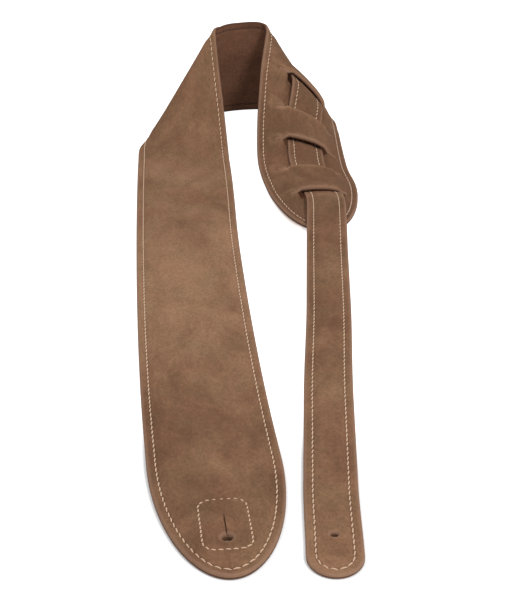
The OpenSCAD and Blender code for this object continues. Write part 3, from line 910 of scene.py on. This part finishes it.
def tail_layers(flat):
    every = np.ones(len(flat.faces), bool)
    filled = flat.inset > TAIL_PAD_INSET - 0.01
    padded = faces_where(flat, filled, lambda f: f)
    tab_from = TAIL_LEN - TAIL_TAB_LEN
    at_tip = faces_where(flat, flat.s, lambda s: s >= TAIL_LEN - TAIL_BACKING_SEAM - 1)
    at_tab = faces_where(flat, flat.s, lambda s: s > tab_from)
    past_tab = faces_where(flat, flat.s, lambda s: s < tab_from - TAIL_TAB_GAP)
    top = face_top(flat, TAIL_BACKING_T, TAIL_CORE_T, TAIL_FACE_T, TAIL_PAD_INSET, 0.1)
    face = top, TAIL_BACKING_T + TAIL_CORE_T * filled
    backing = level(flat, TAIL_BACKING_T), backing_bottom(flat)
    core = level(flat, TAIL_BACKING_T + TAIL_CORE_T), level(flat, TAIL_BACKING_T)
    for name, node, heights, keep, material, slot in (
        ("tail_strap_face", "tail_face", face, every, SUEDE, "suede"),
        ("tail_strap_backing", "tail_backing", backing, ~at_tip, SUEDE_BACK, "backing_suede"),
        ("tail_tip_backing", "tail_button_backing", backing, at_tip, SUEDE_BACK, "backing_suede"),
        ("tail_tape", "tail_core", core, padded & past_tab, TAPE, "webbing"),
        ("tail_tab", "tail_button_tab", core, padded & at_tab, BOARD, "tab_board"),
    ):
        add_layer(name, node, flat, heights, put_tail, keep, material, slot)


# ---------------------------------------------------------------- stitches
# Points round a thread and along a stitch, and the share of the pitch that a stitch covers
AROUND, ALONG_STITCH, STITCH_SHARE = 8, 7, 0.86
# How high a stitch rises over the leather, how deep its ends dive, and how much thinner they are drawn
STITCH_RISE, STITCH_DIVE, STITCH_TAPER = 0.42, 0.34, 0.38
# How far a stitch strays along its line, as a share of the pitch, and how far it slants across it
STRAY, SLANT_LOW, SLANT_HIGH = 0.04, 0.1, 0.34


def stitch_faces(count):
    """Faces of closed tubes, one for each stitch."""
    faces = []
    for i in range(count):
        base = i * ALONG_STITCH * AROUND
        for k in range(ALONG_STITCH - 1):
            for j in range(AROUND):
                a, b = base + k * AROUND + j, base + k * AROUND + (j + 1) % AROUND
                faces.append((a, b, b + AROUND, a + AROUND))
        faces.append(tuple(base + j for j in reversed(range(AROUND))))
        faces.append(tuple(base + (ALONG_STITCH - 1) * AROUND + j for j in range(AROUND)))
    return faces


def stitches(name, node, line, put, height, up_sign, pitch):
    """Separate stitches, evenly spaced along a closed line of flat places. Each one leaves the leather,
    rises over it and dives in again."""
    closed = np.vstack([line, line[:1]])
    points = put(closed[:, 0], closed[:, 1], np.full(len(closed), height))
    arc = np.concatenate([[0], np.cumsum(np.linalg.norm(np.diff(points, axis=0), axis=1))])
    count = round(arc[-1] / pitch)
    stitch_len = arc[-1] / count * STITCH_SHARE
    starts = arc[-1] / count * (np.arange(count) + RNG.uniform(-STRAY, STRAY, count))
    x = np.linspace(0, 1, ALONG_STITCH)
    at = (starts[:, None] + x * stitch_len) % arc[-1]
    slant = RNG.uniform(SLANT_LOW, SLANT_HIGH, (count, 1)) * (2 * x - 1)

    def curve(a, h):
        s, t = np.interp(a % arc[-1], arc, closed[:, 0]), np.interp(a % arc[-1], arc, closed[:, 1])
        return put(s, t, h)

    rise = STITCH_RISE * np.sin(math.pi * x) ** 0.6 - STITCH_DIVE
    level_h = height + up_sign * rise + np.zeros_like(at)
    middle = curve(at, level_h)
    tangent = unit(curve(at + 0.2, level_h) - curve(at - 0.2, level_h))
    up = unit(curve(at, level_h + 1) - middle)
    side = unit(np.cross(tangent, up))
    middle = middle + side * slant[..., None]
    taper = 1 - STITCH_TAPER + STITCH_TAPER * np.sin(math.pi * x)
    angles = np.arange(AROUND) * 2 * math.pi / AROUND
    ring = (
        side[:, :, None] * np.cos(angles)[None, None, :, None]
        + unit(np.cross(side, tangent))[:, :, None] * np.sin(angles)[None, None, :, None]
    )
    points = (middle[:, :, None] + ring * THREAD_R * taper[None, :, None, None]).reshape(-1, 3)
    points[:, 2] = np.maximum(points[:, 2], 0)
    number, along, turn = np.meshgrid(np.arange(count), x * stitch_len, angles, indexing="ij")
    places = np.stack([along, turn / MM, number * 9.0], axis=-1).reshape(-1, 3)
    material, slot = (THREAD, "thread") if up_sign > 0 else (BOBBIN, "bobbin_thread")
    pieces[name] = add_piece(name, points, stitch_faces(count), places, material, slot)
    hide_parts(node)


def ring_line(flat, inset):
    """The closed line at an inset from the outline, as flat places."""
    s, t = flat.ring_side(inset)
    return np.stack([np.concatenate([s, s[-2:0:-1]]), np.concatenate([t, -t[-2:0:-1]])], axis=-1)


def box_line(middle, length, width, radius):
    """A rectangle with rounded corners, round a station in the strap's middle."""
    corners = []
    for quarter, (x, y) in enumerate([(1, 1), (-1, 1), (-1, -1), (1, -1)]):
        centre = np.array([middle + x * (length / 2 - radius), y * (width / 2 - radius)])
        for angle in np.radians(90 * quarter + np.linspace(0, 90, 7)):
            corners.append(centre + radius * np.array([math.cos(angle), math.sin(angle)]))
    return np.array(corners)


def put_wide_line(s, t, h):
    return strap_place(s, t, h + arch(s, t))


def put_tail_line(s, t, h):
    return tail_place(s + TAIL_INNER_S, t, h)


def all_stitches(wide, tail):
    seam_h, tail_seam_h = BACKING_T + FACE_T - 0.2, TAIL_BACKING_T + TAIL_FACE_T - 0.2
    wide_line, tail_seam = ring_line(wide, STITCH_INSET), ring_line(tail, STITCH_INSET)
    box = box_line(BOX_S, BOX_LEN, BOX_W, BOX_R)
    for name, node, line, height, up_sign, pitch in (
        ("wide_stitches", "main_needle_thread", wide_line, seam_h, 1, STITCH_PITCH),
        ("wide_stitches_under", "main_bobbin_thread", wide_line, 0.3, -1, STITCH_PITCH),
        ("button_stitches", "button_needle_thread", box, MAIN_T + 0.05, 1, BOX_PITCH),
        ("button_stitches_under", "button_bobbin_thread", box, 0.2, -1, BOX_PITCH),
    ):
        stitches(name, node, line, put_wide_line, height, up_sign, pitch)
        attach(pieces[name], "main")
    for name, node, height, up_sign in (
        ("tail_stitches", "tail_needle_thread", tail_seam_h, 1),
        ("tail_stitches_under", "tail_bobbin_thread", 0.3, -1),
    ):
        stitches(name, node, tail_seam, put_tail_line, height, up_sign, STITCH_PITCH)


# ---------------------------------------------------------------- the scene
# How strongly the floor glows for the camera: round the free ends, elsewhere, and under the slots,
# where a dim brown glow is painted shade
FRONT_GLOW, BACK_GLOW, SLOT_GLOW = 0.15, 0.9, 0.3
WORLD_STRENGTH = 0.5
FLOOR_HALF, FLOOR_Z = 6.0, -0.0003
# The ovals of the floor, in metres: the one under the slots, which is painted shade, and the one round
# the free ends
PAINTED_SHADE_AT, PAINTED_SHADE_HALF = (0.046, 0.46), (0.03, 0.13)
FRONT_HALF = 0.13, 0.1
CAMERA_AT, CAMERA_DOWN, CAMERA_LENS = (0.0125, -0.5509, 0.3838), 25.91, 93


def add_camera():
    """At the photograph's viewing angle: in front of the free ends, looking down along the strap."""
    camera = bpy.data.cameras.new("camera")
    camera.sensor_width = 36
    camera.lens = CAMERA_LENS
    camera.clip_end = 10
    eye = bpy.data.objects.new("camera", camera)
    eye.location = CAMERA_AT
    eye.rotation_euler = (math.radians(90 - CAMERA_DOWN), 0, 0)
    bpy.context.scene.collection.objects.link(eye)
    bpy.context.scene.camera = eye


def add_light(name, location, size, power, target=(0, 0.25, 0)):
    light = bpy.data.lights.new(name, "AREA")
    light.shape = "DISK"
    light.size = size
    light.energy = power
    lamp = bpy.data.objects.new(name, light)
    lamp.location = location
    direction = Vector(target) - Vector(location)
    lamp.rotation_euler = direction.to_track_quat("-Z", "Y").to_euler()
    bpy.context.scene.collection.objects.link(lamp)


def in_oval(n, position, half, low, high):
    """1 inside an oval round a position, falling to 0 between two shares of its half sizes."""
    shares = n.scaled(position, (1 / half[0], 1 / half[1], 0))
    reach = n.add("VectorMath", {0: shares}, operation="LENGTH").outputs["Value"]
    return n.band(reach, low, high)


def add_floor():
    """A white table, overexposed, so that only what touches it darkens it. In an oval under the slotted
    end it is
    painted suede brown: painted shade for the shadowed table that shows through the slots."""
    mesh = bpy.data.meshes.new("floor")
    corners = [(x * FLOOR_HALF, y * FLOOR_HALF, FLOOR_Z) for x in (-1, 1) for y in (-x, x)]
    mesh.from_pydata(corners, [], [(0, 1, 2, 3)])
    n = Nodes("pale_floor", roughness=0.9, specular=0.0)
    seen = n.add("LightPath").outputs["Is Camera Ray"]
    position = n.add("NewGeometry").outputs["Position"]
    from_slots = n.add("VectorMath", {0: position, 1: (*PAINTED_SHADE_AT, 0)}, operation="SUBTRACT")
    painted_slot_shade = in_oval(n, from_slots.outputs["Vector"], PAINTED_SHADE_HALF, 0.8, 1.0)
    in_front = in_oval(n, position, FRONT_HALF, 0.7, 1.2)
    lit = n.math("MULTIPLY", in_front, FRONT_GLOW - BACK_GLOW)
    lit = n.math("MULTIPLY", n.math("ADD", lit, BACK_GLOW), n.math("SUBTRACT", 1.0, painted_slot_shade))
    lit = n.math("ADD", lit, n.math("MULTIPLY", painted_slot_shade, SLOT_GLOW))
    # Painted shade: under the slots the floor is painted brown and glows dim brown for the camera, for
    # the shadowed table seen through the slots.
    n.put(n.shader.inputs["Emission Color"], n.mix(painted_slot_shade, (1, 1, 1, 1), colour(120, 78, 58)))
    n.put(n.shader.inputs["Emission Strength"], n.math("MULTIPLY", seen, lit))
    dark, light = colours((248, 248, 248), (252, 252, 252))
    base = n.ramp(n.noise(position, 3.0, 2.0), (0.3, dark), (0.7, light))
    mesh.materials.append(n.finish(n.mix(painted_slot_shade, base, colour(150, 114, 90))))
    floor = bpy.data.objects.new("floor", mesh)
    bpy.context.scene.collection.objects.link(floor)


def add_world():
    world = bpy.data.worlds.new("studio")
    world.use_nodes = True
    background = world.node_tree.nodes["Background"]
    background.inputs["Color"].default_value = (1, 1, 1, 1)
    background.inputs["Strength"].default_value = WORLD_STRENGTH
    bpy.context.scene.world = world
    bpy.context.scene.view_settings.view_transform = "Standard"


pieces = {}
add_camera()
wide, tail = wide_flat(), tail_flat()
wide_layers(wide)
tail_layers(tail)
all_stitches(wide, tail)

# The tail's pieces have their placing baked into their meshes
for name in list(pieces):
    if name.startswith("tail_"):
        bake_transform(pieces[name])

add_floor()
add_world()
add_light("softbox_front", (0.8, -0.6, 1.4), 0.5, 14)
add_light("softbox_above", (-0.3, 0.0, 1.5), 1.2, 4)
